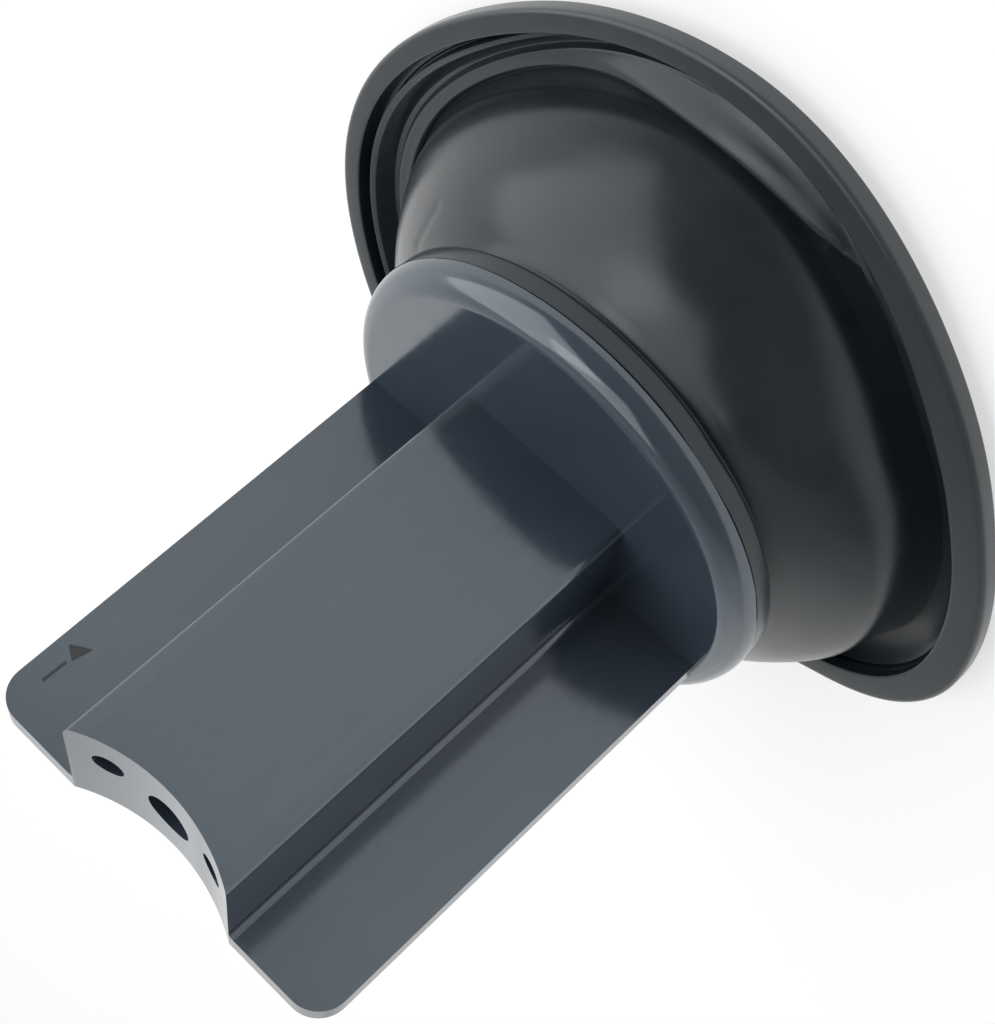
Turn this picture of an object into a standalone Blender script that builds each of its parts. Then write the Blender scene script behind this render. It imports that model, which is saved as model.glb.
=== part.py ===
"""Carburettor diaphragm: a plastic vacuum slide hung in a moulded rubber diaphragm.

The part stands on the rubber rim, with the slide pointing up. The origin is the centre of
the rim's seat, -Y is the front of the slide, and all sizes are in metres.
"""
import math

import bmesh
import bpy
from mathutils import Matrix, Vector

MM = 0.001
CLEARANCE = 0.3 * MM

# How the slide rests in the soft rubber
SLIDE_LEAN = math.radians(7.1)
SLIDE_SHIFT = Vector((-1.2 * MM, 1.3 * MM, 0.0))

# Slide: flange
FLANGE_HEIGHT = 17.8 * MM
FLANGE_RADIUS = 22.7 * MM
FLANGE_THICKNESS = 2.8 * MM
FLANGE_ROUND_WIDTH = 2.3 * MM
FLANGE_ROUND_HEIGHT = 2.2 * MM
SPIGOT_INSET = 6.1 * MM
SPIGOT_DEPTH = 4.6 * MM
SPIGOT_WALL = 2.4 * MM
FLANGE_WEB = 2.2 * MM

# Slide: guide wings and centre block
SLIDE_LENGTH = 44.6 * MM
WING_HALF_WIDTH = 19.6 * MM
WING_FRONT = 4.77 * MM
WING_THICKNESS = 2.0 * MM
WING_CORNER_RADIUS = 3.0 * MM
BLOCK_HALF_WIDTH = 9.34 * MM
BLOCK_FRONT = -6.02 * MM
BLOCK_EDGE_WIDTH = 0.6 * MM
BLOCK_EDGE_DEPTH = 1.2 * MM
BLOCK_ROOT_RADIUS = 1.0 * MM
ARCH_DEPTH = 2.42 * MM
SEAM_DEPTH = 0.6 * MM

# Slide: spring well and holes in the end
WELL_WIDTH = 15.6 * MM
WELL_DEPTH = 9.6 * MM
WELL_FLOOR = 8.0 * MM
WELL_CENTRE_Y = 0.4 * MM
NEEDLE_BORE = 4.7 * MM
AIR_HOLE = 2.8 * MM
AIR_HOLE_SPACING = 12.0 * MM
AIR_HOLE_FORWARD = 1.8 * MM

# Rubber: inner bead and bowl wall
RUBBER_WALL = 0.8 * MM
NECK_INSET = 0.2 * MM
NECK_GROOVE = 0.9 * MM
NECK_BEAD = 2.4 * MM
BOWL_FULLNESS = 0.75
BOWL_SHOULDER_DROP = 0.33
TROUGH_WIDTH = 1.9 * MM
TROUGH_FLOOR = 1.6 * MM

# Rubber: lip, rim and seat
RIM_RADIUS = 36.0 * MM
RIM_HEIGHT = 4.0 * MM
RIM_THICKNESS = 1.9 * MM
RIM_FACE = 2.1 * MM
RIM_EDGE = 0.3 * MM
RIM_SQUARENESS = 0.84 * MM
LIP_INSET = 4.5 * MM
LIP_WIDTH = 1.1 * MM
LIP_HEIGHT = 4.1 * MM
LIP_GROOVE = 1.2 * MM
SEAT_INSET = 2.7 * MM
SEAT_WIDTH = 1.7 * MM

# Retaining ring
RETAINER_HEIGHT = 1.6 * MM
RETAINER_INSET = 0.4 * MM
RETAINER_EDGE = 0.3 * MM

# Fineness of the round forms
TURN_STEPS = 80
BORE_STEPS = 32
ARC_STEPS = 5

# Heights along the slide's own axis
FLANGE_BACK = FLANGE_HEIGHT - FLANGE_THICKNESS
SLIDE_TOP = FLANGE_HEIGHT + SLIDE_LENGTH
BEAD_TOP = FLANGE_BACK - CLEARANCE
BEAD_BACK = BEAD_TOP - NECK_BEAD
RETAINER_TOP = BEAD_BACK - CLEARANCE
SPIGOT_END = FLANGE_BACK - SPIGOT_DEPTH
WING_BACK = WING_FRONT + WING_THICKNESS

# Radii of the slide's back, the rubber and the retaining ring
SPIGOT_RADIUS = FLANGE_RADIUS - SPIGOT_INSET
DISH_RADIUS = SPIGOT_RADIUS - SPIGOT_WALL
NECK_RADIUS = FLANGE_RADIUS - NECK_INSET
NECK_INSIDE = NECK_RADIUS - NECK_GROOVE - RUBBER_WALL
RETAINER_RADIUS = NECK_INSIDE - RETAINER_INSET
LIP_RADIUS = RIM_RADIUS - LIP_INSET
SHOULDER_RADIUS = LIP_RADIUS - TROUGH_WIDTH
SEAT_RADIUS = RIM_RADIUS - SEAT_INSET


def clear_scene():
    for item in list(bpy.data.objects):
        bpy.data.objects.remove(item)


def make_material(name, colour, roughness):
    material = bpy.data.materials.new(name)
    material.use_nodes = True
    shader = material.node_tree.nodes["Principled BSDF"]
    shader.inputs["Base Color"].default_value = (*colour, 1.0)
    shader.inputs["Roughness"].default_value = roughness
    shader.inputs["Metallic"].default_value = 0.0
    material.diffuse_color = (*colour, 1.0)
    return material


def smooth_step(value, start, end):
    share = min(max((value - start) / (end - start), 0.0), 1.0)
    return share * share * (3.0 - 2.0 * share)


def arc(centre, radii, start, end, steps=ARC_STEPS):
    """Points on an elliptic arc, from one angle to the other, in degrees."""
    points = []
    for step in range(steps + 1):
        angle = math.radians(start + (end - start) * step / steps)
        points.append((centre[0] + radii[0] * math.cos(angle), centre[1] + radii[1] * math.sin(angle)))
    return points


def object_from(name, mesh, material=None, parent=None):
    """Turns a bmesh into an object, shaded smooth with its corners kept sharp."""
    bmesh.ops.recalc_face_normals(mesh, faces=mesh.faces)
    data = bpy.data.meshes.new(name)
    mesh.to_mesh(data)
    mesh.free()
    data.shade_smooth()
    data.set_sharp_from_angle(angle=math.radians(35))
    item = bpy.data.objects.new(name, data)
    bpy.context.scene.collection.objects.link(item)
    if material:
        data.materials.append(material)
    item.parent = parent
    return item


def loft(rings, closed=False):
    """Joins equal rings of points into one skin, and caps it where the profile is open."""
    mesh = bmesh.new()
    loops = [[mesh.verts.new(point) for point in ring] for ring in rings]
    pairs = list(zip(loops, loops[1:] + loops[:1])) if closed else list(zip(loops, loops[1:]))
    for low, high in pairs:
        for corner in range(len(low)):
            after = (corner + 1) % len(low)
            mesh.faces.new((low[corner], low[after], high[after], high[corner]))
    if not closed:
        mesh.faces.new(loops[0])
        mesh.faces.new(loops[-1])
    return mesh


def turned_rings(profile, place, steps=TURN_STEPS):
    """Carries a profile of (radius, height) round the axis; place maps each point."""
    rings = []
    for radius, height in profile:
        angles = (2.0 * math.pi * step / steps for step in range(steps))
        rings.append([place(radius, height, angle) for angle in angles])
    return rings


def plain_turn(radius, height, angle):
    return Vector((radius * math.cos(angle), radius * math.sin(angle), height))


def prism(outline, low, high, upright=True):
    """Extrudes an outline along Z, or along Y when it is not upright."""
    if upright:
        rings = [[Vector((x, y, level)) for x, y in outline] for level in (low, high)]
    else:
        rings = [[Vector((x, level, z)) for x, z in outline] for level in (low, high)]
    return loft(rings)


def combine(target, tool, operation):
    """Adds a boolean modifier whose tool stays in the file as a hidden guide."""
    tool.hide_render = True
    tool.display_type = "WIRE"
    modifier = target.modifiers.new(tool.name, "BOOLEAN")
    modifier.operation = operation
    modifier.solver = "EXACT"
    modifier.object = tool


def flange_profile():
    """Flange with its rounded edge, and the spigot and dish on its back."""
    edge = arc((FLANGE_RADIUS - FLANGE_ROUND_WIDTH, FLANGE_HEIGHT - FLANGE_ROUND_HEIGHT),
               (FLANGE_ROUND_WIDTH, FLANGE_ROUND_HEIGHT), 90, 0, 8)
    dish_floor = FLANGE_HEIGHT - FLANGE_WEB
    back = [(FLANGE_RADIUS, FLANGE_BACK), (SPIGOT_RADIUS, FLANGE_BACK), (SPIGOT_RADIUS, SPIGOT_END),
            (DISH_RADIUS, SPIGOT_END), (DISH_RADIUS, dish_floor)]
    return edge + back


def wing_outline():
    """Front view of the two guide wings, with their free corners rounded."""
    inset = WING_CORNER_RADIUS
    root = FLANGE_HEIGHT - SEAM_DEPTH
    centre_x = WING_HALF_WIDTH - inset
    centre_z = SLIDE_TOP - inset
    right = [(WING_HALF_WIDTH, root)] + arc((centre_x, centre_z), (inset, inset), 0, 90)
    left = arc((-centre_x, centre_z), (inset, inset), 90, 180) + [(-WING_HALF_WIDTH, root)]
    return right + left


def block_outline():
    """Section of the centre block: eased front edges and filleted roots on the wings."""
    side = BLOCK_HALF_WIDTH
    root = BLOCK_ROOT_RADIUS
    buried = WING_FRONT + WING_THICKNESS / 2
    edge_centre = (side - BLOCK_EDGE_WIDTH, BLOCK_FRONT + BLOCK_EDGE_DEPTH)
    right = arc(edge_centre, (BLOCK_EDGE_WIDTH, BLOCK_EDGE_DEPTH), -90, 0)
    right += arc((side + root, WING_FRONT - root), (root, root), 180, 90)
    right.append((side + root, buried))
    left = [(-x, y) for x, y in reversed(right)]
    return right + left


def stadium_outline(width, depth, centre_y):
    """A slot's outline with round ends."""
    radius = depth / 2
    reach = width / 2 - radius
    return (arc((reach, centre_y), (radius, radius), -90, 90, 10)
            + arc((-reach, centre_y), (radius, radius), 90, 270, 10))


def bore(name, diameter, x, y, low, high, parent):
    radius = diameter / 2
    outline = [(x + radius * math.cos(2 * math.pi * step / BORE_STEPS),
                y + radius * math.sin(2 * math.pi * step / BORE_STEPS)) for step in range(BORE_STEPS)]
    return object_from(name, prism(outline, low, high), parent=parent)


def arch_outline():
    """Side of the round cutter that hollows the block's end to match the carburettor's bore."""
    radius = (ARCH_DEPTH ** 2 + BLOCK_HALF_WIDTH ** 2) / (2 * ARCH_DEPTH)
    half_angle = math.degrees(math.asin(BLOCK_HALF_WIDTH / radius))
    centre = (0.0, SLIDE_TOP - ARCH_DEPTH + radius)
    return arc(centre, (radius, radius), -90 - half_angle, -90 + half_angle, 24)


def make_slide(frame, material):
    """One moulding: flange, wings and hollow centre block."""
    slide = object_from("vacuum_slide", loft(turned_rings(flange_profile(), plain_turn)), material, frame)
    root = FLANGE_HEIGHT - SEAM_DEPTH
    wings = object_from("wing_guide", prism(wing_outline(), WING_FRONT, WING_BACK, upright=False), parent=frame)
    block = object_from("block_guide", prism(block_outline(), root, SLIDE_TOP), parent=frame)
    combine(slide, wings, "UNION")
    combine(slide, block, "UNION")

    arch_side = arch_outline()
    above = SLIDE_TOP + CLEARANCE
    arch_side = [(-BLOCK_HALF_WIDTH, above)] + arch_side + [(BLOCK_HALF_WIDTH, above)]
    arch_cut = prism(arch_side, BLOCK_FRONT - CLEARANCE, WING_BACK + CLEARANCE, upright=False)
    combine(slide, object_from("arch_cutter", arch_cut, parent=frame), "DIFFERENCE")

    below = SPIGOT_END - CLEARANCE
    floor = SLIDE_TOP - WELL_FLOOR
    well = prism(stadium_outline(WELL_WIDTH, WELL_DEPTH, WELL_CENTRE_Y), below, floor)
    combine(slide, object_from("well_cutter", well, parent=frame), "DIFFERENCE")
    start = floor - CLEARANCE
    needle = bore("needle_cutter", NEEDLE_BORE, 0.0, WELL_CENTRE_Y, start, above, frame)
    combine(slide, needle, "DIFFERENCE")
    for side in (-1, 1):
        hole_y = WELL_CENTRE_Y - AIR_HOLE_FORWARD
        air = bore("air_cutter", AIR_HOLE, side * AIR_HOLE_SPACING / 2, hole_y, start, above, frame)
        combine(slide, air, "DIFFERENCE")
    return slide


def bend(start, corner, end, steps):
    """Smooth curve between two points, pulled towards a corner."""
    points = []
    for step in range(steps + 1):
        share = step / steps
        first = Vector(start).lerp(Vector(corner), share)
        second = Vector(corner).lerp(Vector(end), share)
        points.append(tuple(first.lerp(second, share)))
    return points


def bowl_surface():
    """Upper side of the rubber wall, from the neck's groove down to the trough's floor."""
    top = (NECK_RADIUS, BEAD_BACK - NECK_GROOVE)
    foot = (SHOULDER_RADIUS, TROUGH_FLOOR + RUBBER_WALL)
    corner_radius = top[0] + (foot[0] - top[0]) * BOWL_FULLNESS
    corner_height = top[1] - (top[1] - foot[1]) * BOWL_SHOULDER_DROP
    wall = bend(top, (corner_radius, corner_height), foot, 9)
    turn = arc((foot[0] + RUBBER_WALL, foot[1]), (RUBBER_WALL, RUBBER_WALL), 180, 270, 3)
    return [(NECK_RADIUS - NECK_GROOVE, BEAD_BACK)] + wall + turn[1:]


def offset_line(line, distance):
    """Moves a line sideways by a distance, square to its own course."""
    moved = []
    for index, point in enumerate(line):
        before = line[max(index - 1, 0)]
        after = line[min(index + 1, len(line) - 1)]
        along = Vector((after[0] - before[0], after[1] - before[1])).normalized()
        moved.append((point[0] + along.y * distance, point[1] - along.x * distance))
    return moved


def diaphragm_profile():
    """Closed section of the rubber: clamped bead, bowl wall, trough, lip, rim and seat."""
    ease = RUBBER_WALL / 2
    inner = SPIGOT_RADIUS + CLEARANCE
    bead = [(inner, BEAD_BACK), (inner, BEAD_TOP), (NECK_RADIUS - ease, BEAD_TOP),
            (NECK_RADIUS, BEAD_TOP - ease), (NECK_RADIUS, BEAD_BACK + ease)]
    upper = bowl_surface()
    lower = offset_line(upper, RUBBER_WALL)

    half_lip = LIP_WIDTH / 2
    foot = [(LIP_RADIUS - ease, TROUGH_FLOOR), (LIP_RADIUS, TROUGH_FLOOR + ease)]
    lip = arc((LIP_RADIUS + half_lip, LIP_HEIGHT - half_lip), (half_lip, half_lip), 180, 0, 4)
    face = RIM_RADIUS - RIM_FACE
    groove = LIP_HEIGHT - LIP_GROOVE
    rim = [(LIP_RADIUS + LIP_WIDTH, groove), (face - RIM_EDGE, groove), (face, RIM_HEIGHT)]
    edge = RIM_RADIUS - RIM_EDGE
    rim += arc((edge, RIM_HEIGHT - RIM_EDGE), (RIM_EDGE, RIM_EDGE), 90, 0, 2)
    under = RIM_HEIGHT - RIM_THICKNESS
    rim += arc((edge, under + RIM_EDGE), (RIM_EDGE, RIM_EDGE), 0, -90, 2)
    seat_inner = SEAT_RADIUS - SEAT_WIDTH
    seat = [(SEAT_RADIUS, under), (SEAT_RADIUS, RIM_EDGE), (SEAT_RADIUS - RIM_EDGE, 0.0),
            (seat_inner + RIM_EDGE, 0.0), (seat_inner, RIM_EDGE)]
    return bead + upper + foot + lip + rim + seat + list(reversed(lower)) + [(NECK_INSIDE, BEAD_BACK)]


def place_rubber(radius, height, angle):
    """Lets the bowl lean with the slide, while the squarish rim stays flat on its seat."""
    lean_share = 1.0 - smooth_step(radius, NECK_RADIUS, SEAT_RADIUS - SEAT_WIDTH)
    square_share = smooth_step(radius, NECK_RADIUS, LIP_RADIUS)
    reach = radius + RIM_SQUARENESS * square_share * math.cos(4 * angle)
    point = plain_turn(reach, height, angle)
    leaned = Matrix.Rotation(-SLIDE_LEAN * lean_share, 3, "X") @ point
    return leaned + SLIDE_SHIFT * lean_share


def make_diaphragm(material):
    rings = turned_rings(diaphragm_profile(), place_rubber)
    return object_from("diaphragm", loft(rings, closed=True), material)


def make_retaining_ring(frame, material):
    """Plastic ring on the slide's spigot, which clamps the rubber's inner bead."""
    inner = SPIGOT_RADIUS + CLEARANCE
    low = RETAINER_TOP - RETAINER_HEIGHT
    edge = RETAINER_EDGE
    profile = [(inner, low), (inner, RETAINER_TOP), (RETAINER_RADIUS - edge, RETAINER_TOP),
               (RETAINER_RADIUS, RETAINER_TOP - edge), (RETAINER_RADIUS, low + edge),
               (RETAINER_RADIUS - edge, low)]
    rings = turned_rings(profile, plain_turn)
    return object_from("retaining_ring", loft(rings, closed=True), material, frame)


def main():
    clear_scene()
    frame = bpy.data.objects.new("slide_frame", None)
    bpy.context.scene.collection.objects.link(frame)
    frame.location = SLIDE_SHIFT
    frame.rotation_euler = (-SLIDE_LEAN, 0.0, 0.0)
    plastic = make_material("slide_plastic", (0.075, 0.085, 0.1), 0.35)
    ring_plastic = make_material("ring_plastic", (0.06, 0.065, 0.075), 0.45)
    rubber = make_material("rubber", (0.045, 0.047, 0.05), 0.55)
    make_slide(frame, plastic)
    make_retaining_ring(frame, ring_plastic)
    make_diaphragm(rubber)


main()
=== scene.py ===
import math

import bmesh
import bpy
import numpy as np
from mathutils import Matrix, Vector


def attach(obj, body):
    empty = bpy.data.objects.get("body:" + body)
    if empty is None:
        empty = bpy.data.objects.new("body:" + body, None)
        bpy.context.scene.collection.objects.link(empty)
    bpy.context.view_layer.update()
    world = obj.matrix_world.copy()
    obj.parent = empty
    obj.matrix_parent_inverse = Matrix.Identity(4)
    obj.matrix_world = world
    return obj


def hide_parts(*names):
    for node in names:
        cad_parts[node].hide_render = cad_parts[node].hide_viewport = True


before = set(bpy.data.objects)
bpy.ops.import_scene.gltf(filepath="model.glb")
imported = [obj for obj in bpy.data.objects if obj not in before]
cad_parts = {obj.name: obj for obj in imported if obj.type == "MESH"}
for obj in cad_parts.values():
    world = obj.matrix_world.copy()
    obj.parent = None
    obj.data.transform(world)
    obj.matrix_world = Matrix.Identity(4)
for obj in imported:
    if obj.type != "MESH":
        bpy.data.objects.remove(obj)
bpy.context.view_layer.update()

MM = 0.001
SCENE = bpy.context.scene

# How the slide rests in the soft rubber, and the gap between touching pieces. The lengths from here to the
# folds of the bowl are in millimetres
LEAN = math.radians(7.1)
SHIFT = (-1.2, 1.3, 0.0)
GAP = 0.3

# Slide: flange, spigot and dish
FLANGE_HEIGHT = 17.8
FLANGE_RADIUS = 22.7
FLANGE_BACK = 15.0
FLANGE_ROUND = (2.3, 2.68)
FLANGE_STEPS = 240
SPIGOT_RADIUS = 16.6
SPIGOT_END = 10.4
DISH_RADIUS = 14.2
DISH_FLOOR = 15.6

# Slide: guide wings and centre block, and how their edges are eased
SLIDE_TOP = 62.4
ROOT = FLANGE_HEIGHT - 0.6
WING_HALF = 19.6
WING_FRONT = 4.77
WING_BACK = 6.77
WING_CORNER = 3.0
BLOCK_HALF = 9.34
BLOCK_FRONT = -6.02
BLOCK_EDGE = (0.6, 1.2)
BLOCK_CREASE = (1.25, 0.13)
BLOCK_ROOT = 0.6
SEAM = 0.42
EASE = 0.22
EASED_ANGLE = 32
SHARP_ANGLE = 40

# Slide: arched end, spring well, the bores in the end, each with its place and its width, and how far a
# cutter reaches past the face that it cuts
ARCH_DEPTH = 2.42
WELL = (15.6, 9.6)
WELL_FLOOR = 54.4
WELL_Y = 0.4
BORES = [(0.0, WELL_Y, 4.7), (-6.0, WELL_Y - 1.8, 2.8), (6.0, WELL_Y - 1.8, 2.8)]
BORE_STEPS = 48
CLEAR = 1.0

# Slide: arrow mark on one wing
ARROW_HEAD = [(16.78, 53.61), (18.6, 54.82), (17.26, 55.64)]
ARROW_TAIL = [(17.51, 56.04), (17.58, 58.54)]
ARROW_LINE = 0.13
ARROW_EDGE = 0.12
ARROW_SUNK = 0.03
ARROW_RAISED = 0.05

# Retaining ring
RING_RADIUS = 20.4
RING_LOW = 10.4
RING_HIGH = 12.0
RING_STEPS = 200

# Rubber: inner bead and bowl
NECK = 22.6
BEAD_TOP = 14.96
BEAD_BACK = 12.3
BEAD_LOW = 12.8
GROOVE = 0.9
WALL = 0.8
SHOULDER = 28.45
SHOULDER_RISE = 1.2
BOWL_FULLNESS = 0.75
BOWL_DROP = 0.33
TROUGH = 1.3

# Rubber: roll, ridge, rim and seat, each between its near and far radius
ROLL_START = 28.5
ROLL_NEAR = 29.3
ROLL_FAR = 30.6
ROLL_TOP = 2.2
ROLL_FOOT = (0.25, 0.35)
ROLL_FALL = 0.2
ROLL_BLEND = 0.3
ROLL_CREST = 0.1
ROLL_MARGIN = 0.15
RIDGE_NEAR = 32.35
RIDGE_FAR = 33.0
RIDGE_TOP = 3.3
RIDGE_BASE = 1.7
RIDGE_FOOT = 0.9
RIDGE_TILT = 0.2
RIDGE_GROOVE = 1.9
RIM_FACE = 33.9
RIM = 36.0
RIM_TOP = 4.0
RIM_UNDER = 2.1
RIM_EDGE = 0.5
SEAT_NEAR = 31.6
SEAT_FAR = 33.3
CLOSED_TOP = 3.6
SQUARENESS = 0.84
SQUARE_END = 31.5

# Rubber: fineness of the skin
RUBBER_STEPS = 320
BOWL_ROWS = 34
ROW_SPACING = 0.3
DENSE_END = 34.2
TINY = 0.01

# How the soft rubber lies, in pairs of degrees round the axis and a value: the roll's rise, the moves of its
# near and far side, where the ridge stays, where its groove is closed, and where the wide slot is open
ROLL_RISES = [(-180, -0.6), (-140, -0.6), (-130, 0.4), (-120, 1.0), (-108, 1.5), (-92, 1.9), (-80, 1.6),
              (-66, 0.3), (-44, -0.1), (-20, -0.2), (100, -0.2), (150, -0.6), (180, -0.6)]
ROLL_NEAR_MOVES = [(-180, 1.5), (-130, 1.5), (-118, 1.2), (-108, 0.8), (-96, 0.1), (-86, 0.0), (-78, 0.2),
                   (-66, 0.75), (-50, 0.85), (-28, 0.3), (-12, 0.0), (120, 0.0), (150, 1.5), (180, 1.5)]
ROLL_FAR_MOVES = [(-180, 2.6), (-125, 2.6), (-108, 2.4), (-90, 1.6), (-66, 1.3), (-44, 0.7), (-20, 0.0),
                  (120, 0.0), (150, 2.6), (180, 2.6)]
RIDGE_STAYS = [(-180, 0.0), (-60, 0.0), (-36, 1.0), (90, 1.0), (120, 0.0), (180, 0.0)]
CLOSED = [(-180, 1.0), (-118, 1.0), (-108, 0.65), (-98, 0.3), (-82, 0.0), (110, 0.0), (140, 1.0), (180, 1.0)]
SLOT = [(-180, 1.0), (-144, 1.0), (-134, 0.75), (-126, 0.48), (-117, 0.2), (-108, 0.07), (-92, 0.0),
        (100, 0.0), (128, 1.0), (180, 1.0)]
SLOT_LEAD = 1.4
SLOT_EDGE = 1.2
SLOT_DIP = 0.3
SLOT_CLIMB = 2.1
SLOT_LEAN = 1.05

# The same for the tilt of the rim's face, and for how far the rim and the bowl are pushed outward
FACE_TILTS = [(-180, 0.1), (-160, 0.3), (-140, 1.0), (-96, 1.0), (-76, 0.0), (120, 0.0), (180, 0.1)]
FACE_SLOPE = 0.27
RIM_PUSH = [(-180, 1.1), (-171, 0.5), (-160, -0.1), (-148, 0.0), (80, 0.0), (94, -1.8), (109, -4.8),
            (122, -6.3), (137, -6.5), (145, -5.2), (150, -3.3), (156, -0.8), (163, 1.0), (171, 1.7),
            (180, 1.1)]
RIM_PUSH_START = 25.6
BOWL_PUSH = [(-180, 1.8), (-170, 1.4), (-160, 0.9), (-148, 0.2), (-138, 0.0), (95, 0.0), (115, 0.6),
             (140, 1.1), (150, 1.3), (160, 1.7), (170, 2.0), (180, 1.8)]
BOWL_PUSH_START = (23.2, 27.5)
BOWL_PUSH_END = (29.2, 34.0)
LEAN_FADE = 26.8
BLUR = 14
SLOT_BLUR = 6
PUSH_BLUR = 9

# Soft folds in the bowl: degrees and radius at both ends, width, depth
FOLDS = [(-125, 23.9, -148, 28.3, 1.7, 0.32), (-32, 24.5, -22, 23.0, 0.35, -0.12)]
FOLD_HEIGHTS = (3.0, 5.0)
FOLD_END = 1.6

# Colours, each between a darker and a lighter tone
SLIDE_TONES = ((0.036, 0.050, 0.071), (0.043, 0.058, 0.080))
RUBBER_TONES = ((0.016, 0.021, 0.026), (0.023, 0.028, 0.034))
# Painted highlight: a lighter colour along the rubber rim's rounded outer edge, standing in for the light
# that edge catches
RUBBER_PAINTED_HIGHLIGHT = (0.080, 0.086, 0.090)
RING_TONES = ((0.052, 0.058, 0.066), (0.068, 0.074, 0.083))
MARK_TONES = ((0.030, 0.034, 0.040), (0.045, 0.050, 0.058))
# Painted highlight on the rim's outer edge: how far in from the edge it is full, and how much of its colour
# is mixed in
PAINTED_HIGHLIGHT_END = 0.05
PAINTED_HIGHLIGHT_SHARE = 0.7

# Camera, from a fit to the photograph: its pose in metres, and its lens in pixels of the picture
CAMERA_POSE = ((-0.715710, 0.644274, -0.269574, -0.051448),
               (-0.171575, -0.536363, -0.826364, -0.153338),
               (-0.676994, -0.545185, 0.494422, 0.115601),
               (0.0, 0.0, 0.0, 1.0))
PICTURE = (995, 1024)
LENS_PIXELS = 2212.08
LENS_CENTRE = (495.2, 512.9)
SENSOR = 36

# Studio, in metres and watts: the lamps' place, aim, size and power, the world's brightness upward and along
# one level direction, and the floor
LAMPS = [("key_soft", (0.48, -0.24, 0.53), (0, 0, 0.02), (0.85, 0.85), 3.3),
         ("top_soft", (0.05, -0.25, 0.75), (0, 0, 0.03), (0.55, 0.5), 1.1)]
UPWARD_SPAN = (-0.2, 1.0)
UPWARD_LIGHT = [(0.0, 1.0), (0.46, 1.0), (0.58, 0.86), (0.72, 0.68), (1.0, 0.5)]
LEVEL_DIRECTION = (0.45, 0.9, 0.0)
LEVEL_SPAN = (-1.0, 1.0)
LEVEL_LIGHT = [(0.0, 0.18), (0.25, 0.2), (0.5, 0.62), (0.72, 0.92), (1.0, 1.0)]
WORLD_STRENGTH = 1.15
FLOOR_REACH = 3.0
FLOOR_SHADE = 0.46
FLOOR_GLOW = 0.62


# Shared tools
def place_slide(points):
    """From the slide's own frame, in millimetres, to the model's frame, in metres."""
    points = np.asarray(points, float)
    c, s = math.cos(LEAN), math.sin(LEAN)
    x, y, z = points[..., 0], points[..., 1], points[..., 2]
    out = np.stack([x, y * c + z * s, -y * s + z * c], -1)
    return (out + np.array(SHIFT)) * MM


def smooth(value, start, end):
    share = np.clip((np.asarray(value, float) - start) / (end - start), 0.0, 1.0)
    return share * share * (3.0 - 2.0 * share)


def arc(cx, cy, rx, ry, start, end, steps):
    """Points on an elliptic arc, from one angle to the other, in degrees."""
    turn = np.radians(np.linspace(start, end, steps + 1))
    return [(cx + rx * math.cos(t), cy + ry * math.sin(t)) for t in turn]


def bend(start, corner, end, steps):
    """Points on a smooth curve between two ends, pulled towards a corner."""
    shares = [k / steps for k in range(steps + 1)]
    return [tuple((1 - t) ** 2 * start + 2 * t * (1 - t) * corner + t * t * end) for t in shares]


def rounded(corners, steps=6):
    """Closed outline with its corners rounded: each corner is (x, y, radius)."""
    out = []
    for i, (x, y, radius) in enumerate(corners):
        here = np.array([x, y], float)
        if radius <= 0:
            out.append(tuple(here))
            continue
        back = np.array(corners[i - 1][:2], float) - here
        ahead = np.array(corners[(i + 1) % len(corners)][:2], float) - here
        back_length, ahead_length = np.linalg.norm(back), np.linalg.norm(ahead)
        back, ahead = back / back_length, ahead / ahead_length
        half = math.acos(max(-1.0, min(1.0, float(back @ ahead)))) / 2
        reach = min(radius / math.tan(half), back_length * 0.49, ahead_length * 0.49)
        out += bend(here + back * reach, here, here + ahead * reach, steps)
    return out


def new_object(name, verts, faces, material=None, angle=SHARP_ANGLE):
    mesh = bpy.data.meshes.new(name)
    mesh.from_pydata([tuple(v) for v in verts], [], faces)
    mesh.validate()
    tidy = bmesh.new()
    tidy.from_mesh(mesh)
    bmesh.ops.recalc_face_normals(tidy, faces=tidy.faces)
    tidy.to_mesh(mesh)
    tidy.free()
    mesh.shade_smooth()
    mesh.set_sharp_from_angle(angle=math.radians(angle))
    item = bpy.data.objects.new(name, mesh)
    SCENE.collection.objects.link(item)
    if material:
        mesh.materials.append(material)
    return item


def turned(profile, steps):
    """Rings of points, one for each (radius, height) of a profile turned round the axis."""
    turn = np.linspace(0, 2 * math.pi, steps, endpoint=False)
    r = np.array([p[0] for p in profile])[:, None]
    z = np.array([p[1] for p in profile])[:, None]
    return np.stack([r * np.cos(turn), r * np.sin(turn), z + 0 * turn], -1)


def skin(rings, closed_profile):
    """Points and faces of a turned surface; rings has the shape (profile, steps, 3)."""
    rows, steps = rings.shape[:2]
    faces = []
    for i in range(rows if closed_profile else rows - 1):
        j = (i + 1) % rows
        for k in range(steps):
            n = (k + 1) % steps
            faces.append((i * steps + k, i * steps + n, j * steps + n, j * steps + k))
    return rings.reshape(-1, 3), faces


def prism(name, outline, low, high, upright=True, material=None):
    """Carries an outline along the slide, or from front to back where it isn't upright."""
    points = []
    for level in (low, high):
        for a, b in outline:
            points.append((a, b, level) if upright else (a, level, b))
    n = len(outline)
    faces = [(k, (k + 1) % n, n + (k + 1) % n, n + k) for k in range(n)]
    faces += [tuple(range(n)), tuple(range(n, 2 * n))]
    return new_object(name, place_slide(points), faces, material)


def combine(target, tool, operation):
    """Joins or cuts one solid with another, which is used up."""
    step = target.modifiers.new(tool.name, "BOOLEAN")
    step.operation = operation
    step.solver = "EXACT"
    step.object = tool
    apply_modifiers(target)
    bpy.data.objects.remove(tool)


def apply_modifiers(item):
    graph = bpy.context.evaluated_depsgraph_get()
    graph.update()
    mesh = bpy.data.meshes.new_from_object(item.evaluated_get(graph))
    old = item.data
    item.modifiers.clear()
    item.data = mesh
    if old.users == 0:
        bpy.data.meshes.remove(old)


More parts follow.
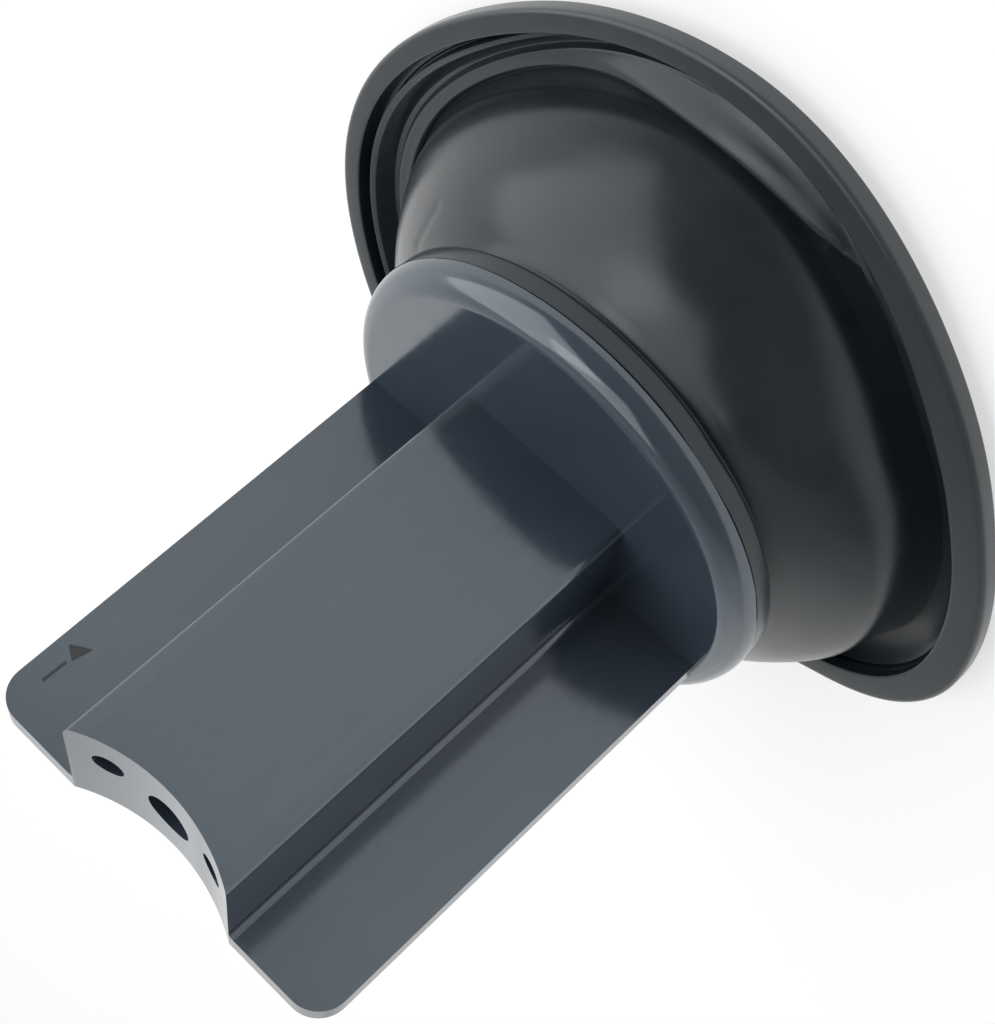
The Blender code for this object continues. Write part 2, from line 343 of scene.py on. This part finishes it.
def fill_ramp(node, stops):
    """Sets a colour ramp: each stop is its place and its colour."""
    ramp = node.color_ramp
    while len(ramp.elements) < len(stops):
        ramp.elements.new(0.5)
    for element, (at, colour) in zip(ramp.elements, stops):
        element.position = at
        element.color = (*colour, 1.0)


# Materials
class Nodes:
    """Short way to write a material's nodes."""

    def __init__(self, name):
        self.material = bpy.data.materials.new(name)
        self.material.use_nodes = True
        self.tree = self.material.node_tree
        self.shader = self.tree.nodes["Principled BSDF"]
        self.place = self.add("ShaderNodeTexCoord").outputs["Object"]

    def add(self, kind, **values):
        node = self.tree.nodes.new(kind)
        for key, value in values.items():
            setattr(node, key, value)
        return node

    def link(self, source, target):
        self.tree.links.new(source, target)

    def noise(self, scale, detail=3.0, rough=0.55, stretch=None):
        node = self.add("ShaderNodeTexNoise")
        node.inputs["Scale"].default_value = scale
        node.inputs["Detail"].default_value = detail
        node.inputs["Roughness"].default_value = rough
        source = self.place
        if stretch:
            mapping = self.add("ShaderNodeMapping")
            mapping.inputs["Scale"].default_value = stretch
            self.link(self.place, mapping.inputs["Vector"])
            source = mapping.outputs["Vector"]
        self.link(source, node.inputs["Vector"])
        return node.outputs["Fac"]

    def ramp(self, source, stops):
        node = self.add("ShaderNodeValToRGB")
        fill_ramp(node, stops)
        self.link(source, node.inputs["Fac"])
        return node.outputs["Color"]

    def tones(self, source, pair):
        """Colour that wanders between a darker and a lighter tone."""
        return self.ramp(source, [(0.3, pair[0]), (0.7, pair[1])])

    def spread(self, source, low, high):
        """Value that wanders between two bounds."""
        node = self.add("ShaderNodeMapRange")
        node.inputs["From Min"].default_value = 0.3
        node.inputs["From Max"].default_value = 0.7
        node.inputs["To Min"].default_value = low
        node.inputs["To Max"].default_value = high
        self.link(source, node.inputs["Value"])
        return node.outputs["Result"]

    def mix(self, share, first, second, blend="MIX"):
        """Mixes two colours; each input is another node's output or a plain value."""
        node = self.add("ShaderNodeMix", data_type="RGBA", blend_type=blend)
        for value, port in ((share, node.inputs[0]), (first, node.inputs[6]), (second, node.inputs[7])):
            if hasattr(value, "is_linked"):
                self.link(value, port)
            elif isinstance(value, float):
                port.default_value = value
            else:
                port.default_value = (*value, 1.0)
        return node.outputs[2]

    def bump(self, pairs):
        """Stacks bumps: each pair is a height and its depth in millimetres."""
        normal = None
        for height, depth in pairs:
            node = self.add("ShaderNodeBump")
            node.inputs["Strength"].default_value = 1.0
            node.inputs["Distance"].default_value = depth * MM
            self.link(height, node.inputs["Height"])
            if normal:
                self.link(normal, node.inputs["Normal"])
            normal = node.outputs["Normal"]
        self.link(normal, self.shader.inputs["Normal"])


def slide_material():
    n = Nodes("moulded_plastic")
    broad = n.noise(60.0, 2.0)
    fine = n.noise(900.0, 4.0)
    flow = n.noise(220.0, 3.0, stretch=(1.0, 1.0, 0.12))
    streaks = n.ramp(flow, [(0.35, (0.93, 0.94, 0.95)), (0.65, (1.05, 1.04, 1.03))])
    colour = n.mix(1.0, n.tones(broad, SLIDE_TONES), streaks, "MULTIPLY")
    n.link(colour, n.shader.inputs["Base Color"])
    n.link(n.spread(fine, 0.11, 0.17), n.shader.inputs["Roughness"])
    n.shader.inputs["IOR"].default_value = 1.9
    n.shader.inputs["Specular Tint"].default_value = (0.86, 0.96, 1.0, 1.0)
    n.bump([(n.noise(1400.0, 3.0), 0.0015), (n.noise(160.0, 2.0), 0.012)])
    return n.material


def rubber_material():
    """Smooth rubber with a slight bloom, and a painted highlight: a lighter colour mixed in along the rim's
    outer edge, where a mesh attribute marks it.
    """
    n = Nodes("moulded_rubber")
    broad = n.noise(45.0, 3.0)
    fine = n.noise(1600.0, 3.0)
    bloom = n.noise(240.0, 5.0, 0.65)
    haze = n.ramp(bloom, [(0.35, (0.92, 0.92, 0.92)), (0.7, (1.12, 1.12, 1.11))])
    colour = n.mix(1.0, n.tones(broad, RUBBER_TONES), haze, "MULTIPLY")
    # Painted highlight: the rim's outer edge is mixed towards a lighter colour
    painted_highlight_node = n.add("ShaderNodeAttribute", attribute_name="painted_highlight")
    colour = n.mix(painted_highlight_node.outputs["Fac"], colour, RUBBER_PAINTED_HIGHLIGHT)
    n.link(colour, n.shader.inputs["Base Color"])
    n.link(n.spread(bloom, 0.21, 0.27), n.shader.inputs["Roughness"])
    n.shader.inputs["IOR"].default_value = 1.52
    n.shader.inputs["Specular Tint"].default_value = (0.93, 0.985, 1.0, 1.0)
    n.bump([(fine, 0.003), (n.noise(130.0, 2.0), 0.02)])
    return n.material


def ring_material():
    n = Nodes("ring_plastic")
    fine = n.noise(1100.0, 4.0)
    n.link(n.tones(n.noise(90.0, 3.0), RING_TONES), n.shader.inputs["Base Color"])
    n.link(n.spread(fine, 0.38, 0.5), n.shader.inputs["Roughness"])
    n.bump([(fine, 0.01)])
    return n.material


def mark_material():
    n = Nodes("mark_paint")
    n.link(n.tones(n.noise(700.0, 4.0), MARK_TONES), n.shader.inputs["Base Color"])
    n.link(n.spread(n.noise(900.0), 0.4, 0.55), n.shader.inputs["Roughness"])
    n.bump([(n.noise(1500.0), 0.008)])
    return n.material


# Rubber
def bowl_line():
    """Upper side of the bowl's wall, from the neck's groove down to the foot of the roll."""
    top = np.array([NECK, BEAD_LOW - GROOVE])
    foot = np.array([SHOULDER, TROUGH + SHOULDER_RISE])
    corner = np.array([top[0] + (foot[0] - top[0]) * BOWL_FULLNESS, top[1] - (top[1] - foot[1]) * BOWL_DROP])
    wall = bend(top, corner, foot, BOWL_ROWS)
    return [(NECK - GROOVE, BEAD_LOW)] + wall + [(ROLL_NEAR - ROLL_BLEND, TROUGH + ROLL_MARGIN)]


def offset(line, distance):
    """Moves a line sideways by a distance, square to its own course."""
    line = np.array(line)
    along = np.gradient(line, axis=0)
    along /= np.linalg.norm(along, axis=1)[:, None]
    return line + np.stack([along[:, 1], -along[:, 0]], 1) * distance


def rubber_corners():
    """Section of the rubber: each corner is its radius, its height and its rounding."""
    upper = bowl_line()
    lower = offset(upper, WALL)[::-1]
    inner = SPIGOT_RADIUS + GAP
    bead = [(inner, BEAD_BACK, 0.2), (inner, BEAD_TOP, 0.2), (NECK, BEAD_TOP, 0.12),
            (NECK, BEAD_LOW + 0.35, 0.45), (NECK - GROOVE, BEAD_LOW, 0.25)]
    roll = [(ROLL_NEAR - ROLL_FOOT[0], TROUGH, 0.1), (ROLL_NEAR, ROLL_TOP, 0.25),
            (ROLL_FAR, ROLL_TOP - ROLL_FALL, 0.3), (ROLL_FAR + ROLL_FOOT[1], TROUGH, 0.25)]
    ridge = [(RIDGE_NEAR - RIDGE_FOOT, TROUGH + RIDGE_TILT, 0.4), (RIDGE_NEAR, RIDGE_TOP, 0.2),
             (RIDGE_FAR, RIDGE_TOP + RIDGE_TILT, 0.2), (RIDGE_FAR + 0.1, RIDGE_GROOVE, 0.1)]
    rim = [(RIM_FACE - 0.15, RIDGE_GROOVE, 0.1), (RIM_FACE, RIM_TOP, 0.2),
           (RIM, RIM_TOP, 0.6), (RIM, RIM_UNDER, 0.3)]
    seat = [(SEAT_FAR, RIM_UNDER, 0.3), (SEAT_FAR, 0.0, 0.35), (SEAT_NEAR, 0.0, 0.35)]
    outer = bead + [(*point, 0) for point in upper[1:]] + roll + ridge + rim + seat
    return outer + [(*point, 0) for point in lower] + [(RING_RADIUS + 0.4, BEAD_BACK, 0.15)]


def rubber_profile():
    """Rounded section of the rubber, with more points where the soft forms need them."""
    line = rounded(rubber_corners())
    out = []
    for i, here in enumerate(line):
        ahead = line[(i + 1) % len(line)]
        out.append(here)
        if min(here[0], ahead[0]) > ROLL_START and max(here[0], ahead[0]) < DENSE_END:
            extra = int(math.dist(here, ahead) / ROW_SPACING)
            for k in range(extra):
                t = (k + 1) / (extra + 1)
                out.append((here[0] + (ahead[0] - here[0]) * t, here[1] + (ahead[1] - here[1]) * t))
    return out


def around(turn, table, blur=BLUR):
    """Reads a table of (degrees, value) round the axis, smoothed over some degrees."""
    grid = np.arange(-180, 180)
    values = np.interp(grid, [t[0] for t in table], [t[1] for t in table])
    window = np.hanning(2 * blur + 1)
    wrapped = np.concatenate([values[-blur:], values, values[:blur]])
    values = np.convolve(wrapped, window / window.sum(), "valid")
    return np.interp(np.degrees(turn), grid, values, period=360)


def groove_height(height, radius, turn, front):
    """Between roll and rim the ridge ends on one side, and its groove is closed on the other."""
    inside = front & (radius < RIM_FACE - TINY)
    ridge = inside & (radius > ROLL_FAR + ROLL_BLEND) & (height > RIDGE_BASE)
    height = np.where(ridge, RIDGE_BASE + (height - RIDGE_BASE) * around(turn, RIDGE_STAYS), height)
    groove = inside & (radius > ROLL_FAR - ROLL_CREST)
    return height + around(turn, CLOSED) * groove * (CLOSED_TOP - height)


def roll_rise(height, radius, turn, front, slot):
    """How much the roll stands up, the open slot sinks to a sloping floor and the rim's face tilts."""
    share = smooth(height, TROUGH, ROLL_TOP - ROLL_MARGIN) * smooth(radius, ROLL_NEAR - ROLL_BLEND, ROLL_NEAR)
    share = share * front * (1.0 - smooth(radius, ROLL_NEAR + ROLL_CREST, ROLL_FAR))
    rise = around(turn, ROLL_RISES) * share
    edge = ROLL_NEAR - SLOT_LEAD + slot * (RIM_FACE - ROLL_NEAR + SLOT_LEAD)
    inside = front & (radius > ROLL_NEAR - ROLL_BLEND - ROLL_CREST) & (radius < RIM_FACE - TINY)
    low = smooth(edge - radius, -SLOT_EDGE, 0.0) * inside
    floor = TROUGH - SLOT_DIP + (radius - ROLL_NEAR) / (RIM_FACE - ROLL_NEAR) * SLOT_CLIMB
    rise = rise + low * (floor - height - rise)
    return rise - FACE_SLOPE * around(turn, FACE_TILTS) * np.maximum(radius - RIM_FACE, 0.0)


def add_folds(rise, height, radius, turn):
    """Each fold is a swelling or a dent along a straight line, as seen from above."""
    for turn_a, radius_a, turn_b, radius_b, width, depth in FOLDS:
        a = radius_a * np.array([math.cos(math.radians(turn_a)), math.sin(math.radians(turn_a))])
        b = radius_b * np.array([math.cos(math.radians(turn_b)), math.sin(math.radians(turn_b))])
        length = np.linalg.norm(b - a)
        along = (b - a) / length
        dx, dy = radius * np.cos(turn) - a[0], radius * np.sin(turn) - a[1]
        t = dx * along[0] + dy * along[1]
        past = t - np.clip(t, 0.0, length)
        away = (dx * along[1] - dy * along[0]) ** 2 + (past / FOLD_END) ** 2
        rise = rise + depth * np.exp(-away / width ** 2) * smooth(height, *FOLD_HEIGHTS)
    return rise


def moved_radius(radius, turn, front, slot):
    """Radius after the moves of the roll, the slot's rim, the rim and the bowl, and the squarish form."""
    near = np.interp(radius, [ROLL_START, ROLL_NEAR, ROLL_FAR], [0.0, 1.0, 0.0])
    far = np.interp(radius, [ROLL_NEAR, ROLL_FAR, ROLL_FAR + ROLL_FOOT[1], RIM_FACE], [0.0, 1.0, 1.0, 0.0])
    shift = (around(turn, ROLL_NEAR_MOVES) * near + around(turn, ROLL_FAR_MOVES) * far) * front * (1.0 - slot)
    edge = RIM - RIM_EDGE
    inward = np.clip((radius - RIDGE_NEAR) / (RIM_FACE - RIDGE_NEAR), 0.0, 1.0)
    inward = inward * np.clip((edge - radius) / (edge - RIM_FACE), 0.0, 1.0)
    shift = shift - SLOT_LEAN * slot * front * inward
    push = around(turn, RIM_PUSH, PUSH_BLUR) * smooth(radius, RIM_PUSH_START, RIM)
    bowl = smooth(radius, *BOWL_PUSH_START)
    push += around(turn, BOWL_PUSH, PUSH_BLUR) * bowl * (1.0 - smooth(radius, *BOWL_PUSH_END))
    return radius + SQUARENESS * smooth(radius, NECK, SQUARE_END) * np.cos(4 * turn) + push + shift


def place_rubber(points):
    """The bowl leans with the slide; the squarish rim rests on its seat, a little out of true."""
    radius = np.hypot(points[..., 0], points[..., 1])
    turn = np.arctan2(points[..., 1], points[..., 0])
    front = (np.arange(len(points)) < np.argmax(radius[:, 0] > RIM - RIM_EDGE))[:, None]
    slot = around(turn, SLOT, SLOT_BLUR)
    height = groove_height(points[..., 2], radius, turn, front)
    rise = add_folds(roll_rise(height, radius, turn, front, slot), height, radius, turn)
    reach = moved_radius(radius, turn, front, slot)
    x, y, z = reach * np.cos(turn), reach * np.sin(turn), height + rise
    lean = (1.0 - smooth(radius, NECK, SEAT_NEAR)) * (1.0 - smooth(radius, LEAN_FADE, SHOULDER))
    c, s = np.cos(LEAN * lean), np.sin(LEAN * lean)
    out = np.stack([x, y * c + z * s, -y * s + z * c], -1)
    return (out + lean[..., None] * np.array(SHIFT)) * MM


def make_rubber(material):
    profile = rubber_profile()
    verts, faces = skin(place_rubber(turned(profile, RUBBER_STEPS)), True)
    item = new_object("diaphragm_rubber", verts, faces, material, 50)
    # Painted highlight: a mesh attribute that is full along the rim's outer edge and lightens the colour
    # there
    radii = np.repeat([p[0] for p in profile], RUBBER_STEPS)
    painted_highlight = smooth(radii, RIM - RIM_EDGE, RIM - PAINTED_HIGHLIGHT_END) * PAINTED_HIGHLIGHT_SHARE
    item.data.attributes.new("painted_highlight", "FLOAT", "POINT").data.foreach_set("value", painted_highlight)
    return item


# Slide
def make_flange(material):
    """Turned flange with its rounded edge, and the spigot and dish on its back."""
    width, height = FLANGE_ROUND
    edge = arc(FLANGE_RADIUS - width, FLANGE_HEIGHT - height, width, height, 90, 0, 24)
    back = rounded([(FLANGE_RADIUS, FLANGE_BACK, 0.1), (SPIGOT_RADIUS, FLANGE_BACK, 0),
                    (SPIGOT_RADIUS, SPIGOT_END, 0.25), (DISH_RADIUS, SPIGOT_END, 0.25),
                    (DISH_RADIUS, DISH_FLOOR, 0.5), (0.0, DISH_FLOOR, 0)], 5)
    verts, faces = skin(place_slide(turned(edge + back[:-1], FLANGE_STEPS)), False)
    faces.append(tuple(range(FLANGE_STEPS)))
    faces.append(tuple(range(len(verts) - FLANGE_STEPS, len(verts))))
    return new_object("slide_body", verts, faces, material, 35)


def wing_outline():
    """Front view of the two guide wings, with their free corners rounded."""
    inset = WING_CORNER
    right = [(WING_HALF, ROOT)] + arc(WING_HALF - inset, SLIDE_TOP - inset, inset, inset, 0, 90, 14)
    return right + [(-x, z) for x, z in reversed(right)]


def block_outline():
    """Section of the centre block: its front drops a little to eased edges, and its roots are filleted."""
    reach, drop = BLOCK_CREASE
    width, depth = BLOCK_EDGE
    root = BLOCK_HALF + BLOCK_ROOT
    right = [(BLOCK_HALF - width - reach, BLOCK_FRONT)]
    right += arc(BLOCK_HALF - width, BLOCK_FRONT + drop + depth, width, depth, -90, 0, 14)
    right += arc(root, WING_FRONT - BLOCK_ROOT, BLOCK_ROOT, BLOCK_ROOT, 180, 90, 10)
    right.append((root, (WING_FRONT + WING_BACK) / 2))
    return right + [(-x, y) for x, y in reversed(right)]


def arch_outline():
    """Side of the round cutter that hollows the block's end."""
    radius = (ARCH_DEPTH ** 2 + BLOCK_HALF ** 2) / (2 * ARCH_DEPTH)
    half = math.degrees(math.asin(BLOCK_HALF / radius))
    curve = arc(0, SLIDE_TOP - ARCH_DEPTH + radius, radius, radius, -90 - half, -90 + half, 48)
    return [(-BLOCK_HALF, SLIDE_TOP + CLEAR)] + curve + [(BLOCK_HALF, SLIDE_TOP + CLEAR)]


def well_outline():
    radius = WELL[1] / 2
    reach = WELL[0] / 2 - radius
    right = arc(reach, WELL_Y, radius, radius, -90, 90, 20)
    return right + arc(-reach, WELL_Y, radius, radius, 90, 270, 20)


def weigh_edges(body):
    """Marks the edges to be eased, and more strongly those where wings and block stand on the flange."""
    mesh = bmesh.new()
    mesh.from_mesh(body.data)
    layer = mesh.edges.layers.float.new("bevel_weight_edge")
    c, s = math.cos(LEAN), math.sin(LEAN)
    for edge in mesh.edges:
        if len(edge.link_faces) != 2 or edge.calc_face_angle(0.0) < math.radians(EASED_ANGLE):
            continue
        heights = [(v.co.y / MM - SHIFT[1]) * s + v.co.z / MM * c for v in edge.verts]
        seam = max(abs(h - FLANGE_HEIGHT) for h in heights) < 2 * TINY and not edge.is_convex
        edge[layer] = 1.0 if seam else EASE / SEAM
    mesh.to_mesh(body.data)
    mesh.free()


def ease_edges(body):
    """Rounds the marked edges, then evens the shading round them."""
    weigh_edges(body)
    ease = body.modifiers.new("ease", "BEVEL")
    ease.width = SEAM * MM
    ease.segments = 3
    ease.limit_method = "WEIGHT"
    apply_modifiers(body)
    body.data.shade_smooth()
    body.data.set_sharp_from_angle(angle=math.radians(SHARP_ANGLE))
    even = body.modifiers.new("even", "WEIGHTED_NORMAL")
    even.weight = 90
    even.keep_sharp = True
    apply_modifiers(body)


def make_slide(material):
    """One moulding: flange, wings and hollow centre block."""
    body = make_flange(material)
    combine(body, prism("wings", wing_outline(), WING_FRONT, WING_BACK, False), "UNION")
    combine(body, prism("block", block_outline(), ROOT, SLIDE_TOP), "UNION")
    combine(body, prism("arch", arch_outline(), BLOCK_FRONT - CLEAR, WING_BACK + CLEAR, False), "DIFFERENCE")
    combine(body, prism("well", well_outline(), SPIGOT_END - CLEAR, WELL_FLOOR), "DIFFERENCE")
    last = BORE_STEPS - 1
    for x, y, size in BORES:
        circle = arc(x, y, size / 2, size / 2, 0, 360 * last / BORE_STEPS, last)
        combine(body, prism("bore", circle, WELL_FLOOR - CLEAR, SLIDE_TOP + CLEAR), "DIFFERENCE")
    ease_edges(body)
    return body


def make_mark(material):
    """Small arrow on the front of one wing."""
    low, high = WING_FRONT - ARROW_SUNK, WING_FRONT + ARROW_RAISED
    head = rounded([(*corner, ARROW_EDGE) for corner in ARROW_HEAD], 4)
    item = prism("arrow_mark", head, low, high, False, material)
    a, b = np.array(ARROW_TAIL)
    side = np.array([b[1] - a[1], a[0] - b[0]]) / np.linalg.norm(b - a) * ARROW_LINE
    tail = [tuple(a + side), tuple(b + side), tuple(b - side), tuple(a - side)]
    combine(item, prism("arrow_tail", tail, low, high, False), "UNION")
    return item


def make_ring(material):
    """Retaining ring behind the rubber's inner bead."""
    inner = SPIGOT_RADIUS + GAP
    profile = rounded([(inner, RING_LOW, 0.2), (inner, RING_HIGH, 0.2),
                       (RING_RADIUS, RING_HIGH, 0.3), (RING_RADIUS, RING_LOW, 0.3)], 5)
    verts, faces = skin(place_slide(turned(profile, RING_STEPS)), True)
    return new_object("retainer", verts, faces, material, 50)


# Camera, lights and floor
def make_camera():
    data = bpy.data.cameras.new("view_camera")
    camera = bpy.data.objects.new("view_camera", data)
    SCENE.collection.objects.link(camera)
    camera.matrix_world = Matrix(CAMERA_POSE)
    width, height = PICTURE
    data.sensor_width = SENSOR
    data.lens = LENS_PIXELS / height * SENSOR
    data.shift_x = (width / 2 - LENS_CENTRE[0]) / height
    data.shift_y = (LENS_CENTRE[1] - height / 2) / height
    data.clip_start = 0.01
    data.clip_end = 20
    SCENE.camera = camera


def area_light(name, place, aim, size, power):
    data = bpy.data.lights.new(name, "AREA")
    data.shape = "RECTANGLE"
    data.size, data.size_y = size
    data.energy = power
    lamp = bpy.data.objects.new(name, data)
    SCENE.collection.objects.link(lamp)
    lamp.location = place
    lamp.rotation_euler = (Vector(aim) - Vector(place)).to_track_quat("-Z", "Y").to_euler()


def brightness(tree, source, span, stops):
    """Brightness of the studio along one direction."""
    share = tree.nodes.new("ShaderNodeMapRange")
    share.inputs["From Min"].default_value, share.inputs["From Max"].default_value = span
    tree.links.new(source, share.inputs["Value"])
    node = tree.nodes.new("ShaderNodeValToRGB")
    node.color_ramp.interpolation = "EASE"
    fill_ramp(node, [(at, (value, value, value)) for at, value in stops])
    tree.links.new(share.outputs["Result"], node.inputs["Fac"])
    return node.outputs["Color"]


def make_world():
    """Studio round the part: a bright backdrop low down, dimmer above, dim towards the front."""
    world = bpy.data.worlds.new("studio")
    SCENE.world = world
    world.use_nodes = True
    tree = world.node_tree
    place = tree.nodes.new("ShaderNodeTexCoord").outputs["Generated"]
    axes = tree.nodes.new("ShaderNodeSeparateXYZ")
    tree.links.new(place, axes.inputs[0])
    across = tree.nodes.new("ShaderNodeVectorMath")
    across.operation = "DOT_PRODUCT"
    across.inputs[1].default_value = LEVEL_DIRECTION
    tree.links.new(place, across.inputs[0])
    both = tree.nodes.new("ShaderNodeMix")
    both.data_type = "RGBA"
    both.blend_type = "MULTIPLY"
    both.inputs[0].default_value = 1.0
    tree.links.new(brightness(tree, axes.outputs["Z"], UPWARD_SPAN, UPWARD_LIGHT), both.inputs[6])
    tree.links.new(brightness(tree, across.outputs["Value"], LEVEL_SPAN, LEVEL_LIGHT), both.inputs[7])
    back = tree.nodes["Background"]
    back.inputs["Strength"].default_value = WORLD_STRENGTH
    tree.links.new(both.outputs[2], back.inputs["Color"])


def make_floor():
    mesh = bpy.data.meshes.new("studio_floor")
    corners = [(-1, -1), (1, -1), (1, 1), (-1, 1)]
    mesh.from_pydata([(x * FLOOR_REACH, y * FLOOR_REACH, 0) for x, y in corners], [], [(0, 1, 2, 3)])
    floor = bpy.data.objects.new("studio_floor", mesh)
    SCENE.collection.objects.link(floor)
    material = bpy.data.materials.new("pale_floor")
    material.use_nodes = True
    shader = material.node_tree.nodes["Principled BSDF"]
    shader.inputs["Base Color"].default_value = (FLOOR_SHADE, FLOOR_SHADE, FLOOR_SHADE, 1.0)
    shader.inputs["Roughness"].default_value = 0.9
    shader.inputs["Specular IOR Level"].default_value = 0.0
    shader.inputs["Emission Strength"].default_value = FLOOR_GLOW
    shader.inputs["Emission Color"].default_value = (1.0, 1.0, 1.0, 1.0)
    mesh.materials.append(material)


def main():
    plastic = slide_material()
    rubber = rubber_material()
    dull = ring_material()
    pieces = [
        (make_rubber(rubber), "diaphragm", "rubber"),
        (make_slide(plastic), "vacuum_slide", "slide_plastic"),
        (make_ring(dull), "retaining_ring", "ring_plastic"),
    ]
    for piece, node, slot in pieces:
        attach(piece, "root")
        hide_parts(node)
    mark = make_mark(mark_material())
    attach(mark, "root")
    make_camera()
    make_world()
    make_floor()
    for lamp in LAMPS:
        area_light(*lamp)
    SCENE.view_settings.view_transform = "Standard"


main()
